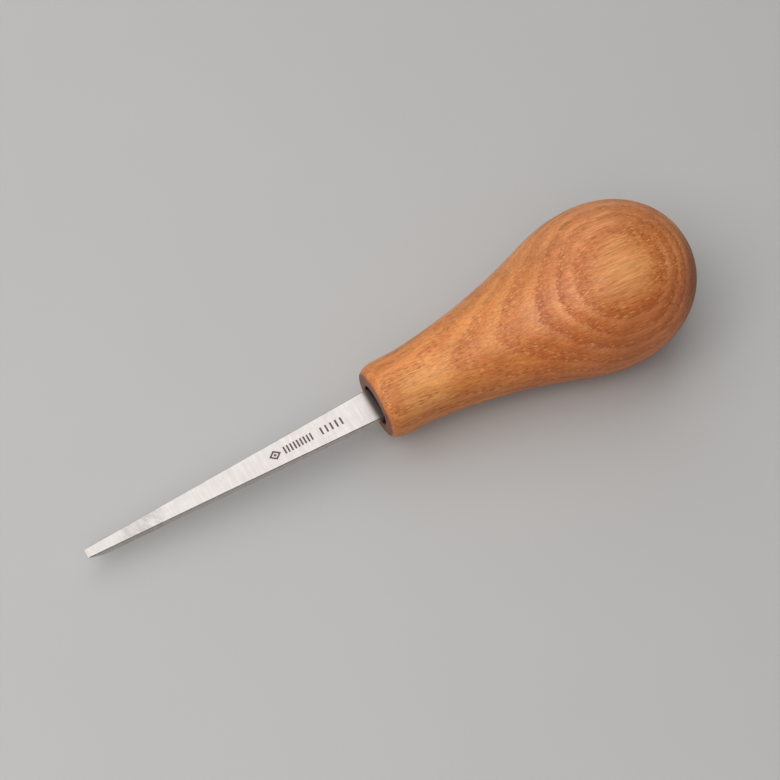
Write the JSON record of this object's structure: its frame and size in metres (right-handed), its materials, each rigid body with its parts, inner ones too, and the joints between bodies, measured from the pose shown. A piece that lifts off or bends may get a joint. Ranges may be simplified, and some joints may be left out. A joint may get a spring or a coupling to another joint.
{
  "type": "lino cutter",
  "caption": "Palm-handled flat cutter: a narrow steel blade tapering to a square bevelled edge, glued into the bore of a pear-shaped turned wooden handle.",
  "frame": {"origin": "centre of the handle's flat front face, where the blade comes out", "axes": "+X along the tool's axis into the handle, so the cutting edge is at -X; +Z is the way the blade's flat face looks; Y is across the blade"},
  "size_m": [0.1292, 0.0324, 0.0324],
  "materials": {
    "oiled_wood": "oiled, satin",
    "ground_steel": "ground across the width, satin",
    "cured_epoxy": "clear amber, gloss"
  },
  "bodies": {
    "root": {"handle": "oiled_wood", "blade": "ground_steel", "tang_adhesive": "cured_epoxy"}
  },
  "joints": []
}
